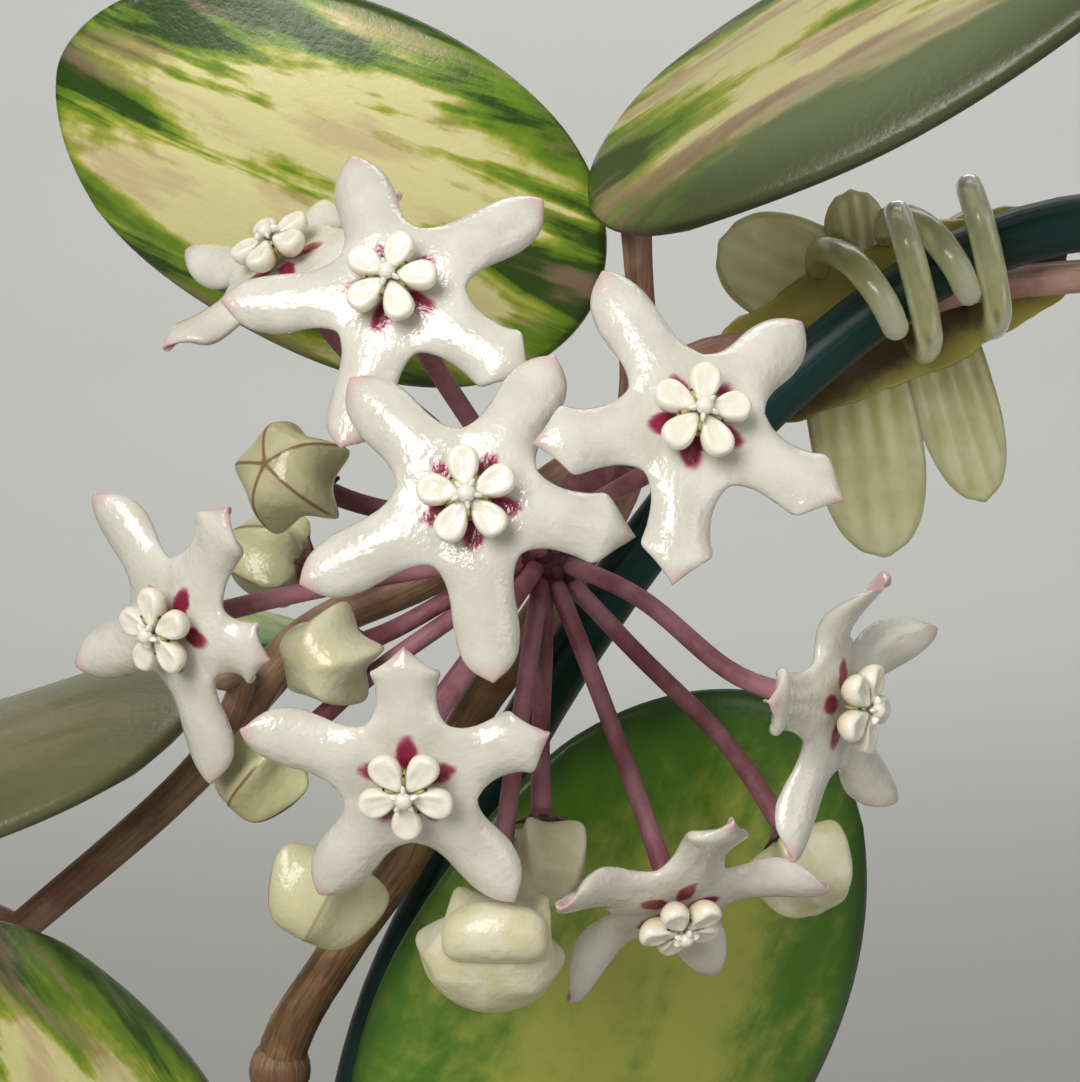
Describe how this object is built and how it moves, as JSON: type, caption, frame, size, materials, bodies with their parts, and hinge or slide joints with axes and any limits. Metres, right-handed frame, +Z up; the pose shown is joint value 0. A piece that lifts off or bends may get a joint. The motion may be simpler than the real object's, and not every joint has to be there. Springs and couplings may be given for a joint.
{
  "type": "potted hoya australis",
  "caption": "Potted variegated wax vine trained on a coated wire hoop, with thick oval leaves, a claw clip and an umbel of waxy white star flowers and buds.",
  "frame": {"origin": "middle of the pot's foot, on the surface it stands on", "axes": "+Z up; the hoop stands in the XZ plane and -Y is the front, where the umbel hangs; +X is to the right seen from the front"},
  "size_m": [0.2386, 0.1562, 0.3263],
  "materials": {
    "terracotta": "matte unglazed clay",
    "potting_mix": "rough chunky bark mix",
    "coated_wire": "glossy dark green plastic coating",
    "vine_bark": "satin brown stem skin",
    "flower_stalk": "satin dusty pink",
    "leaf": "thick satin leaf, variegated green and cream",
    "petal": "waxy gloss white",
    "corona": "pearly gloss cream",
    "bud": "waxy pale yellow green",
    "clip_plastic": "translucent yellow green",
    "spring_steel": "bright wire"
  },
  "bodies": {
    "root": {"pot": "terracotta", "soil": "potting_mix", "hoop": "coated_wire", "main_vine": "vine_bark", "second_vine": "vine_bark", "base_shoot": "vine_bark", "umbel_stalks": "flower_stalk", "leaf_1": "leaf", "leaf_2": "leaf", "leaf_3": "leaf", "leaf_4": "leaf", "leaf_5": "leaf", "leaf_6": "leaf", "leaf_7": "leaf", "leaf_8": "leaf", "leaf_9": "leaf", "leaf_10": "leaf", "leaf_11": "leaf", "leaf_12": "leaf", "leaf_13": "leaf", "leaf_14": "leaf", "leaf_15": "leaf", "leaf_16": "leaf", "leaf_17": "leaf", "leaf_18": "leaf", "leaf_19": "leaf", "leaf_20": "leaf", "leaf_21": "leaf", "leaf_22": "leaf", "leaf_23": "leaf", "leaf_24": "leaf", "corolla_1": "petal", "corona_1": "corona", "corolla_2": "petal", "corona_2": "corona", "corolla_3": "petal", "corona_3": "corona", "corolla_4": "petal", "corona_4": "corona", "corolla_5": "petal", "corona_5": "corona", "corolla_6": "petal", "corona_6": "corona", "corolla_7": "petal", "corona_7": "corona", "corolla_8": "petal", "corona_8": "corona", "bud_1": "bud", "bud_2": "bud", "bud_3": "bud", "bud_4": "bud", "bud_5": "bud", "bud_6": "bud", "bud_7": "bud", "bud_8": "bud", "clip_half": "clip_plastic", "clip_pin": "spring_steel", "clip_spring": "spring_steel"},
    "clip_jaw": {"clip_jaw": "clip_plastic"}
  },
  "joints": [
    {"name": "clip_hinge", "type": "hinge", "parent": "root", "child": "clip_jaw", "pos_m": [-0.0157, 0.0093, 0.2967], "axis": [0.866, 0, 0.5], "range_deg": [0, 32], "stiffness_Nm_per_rad": 0.008, "springref_deg": -20.05}
  ]
}
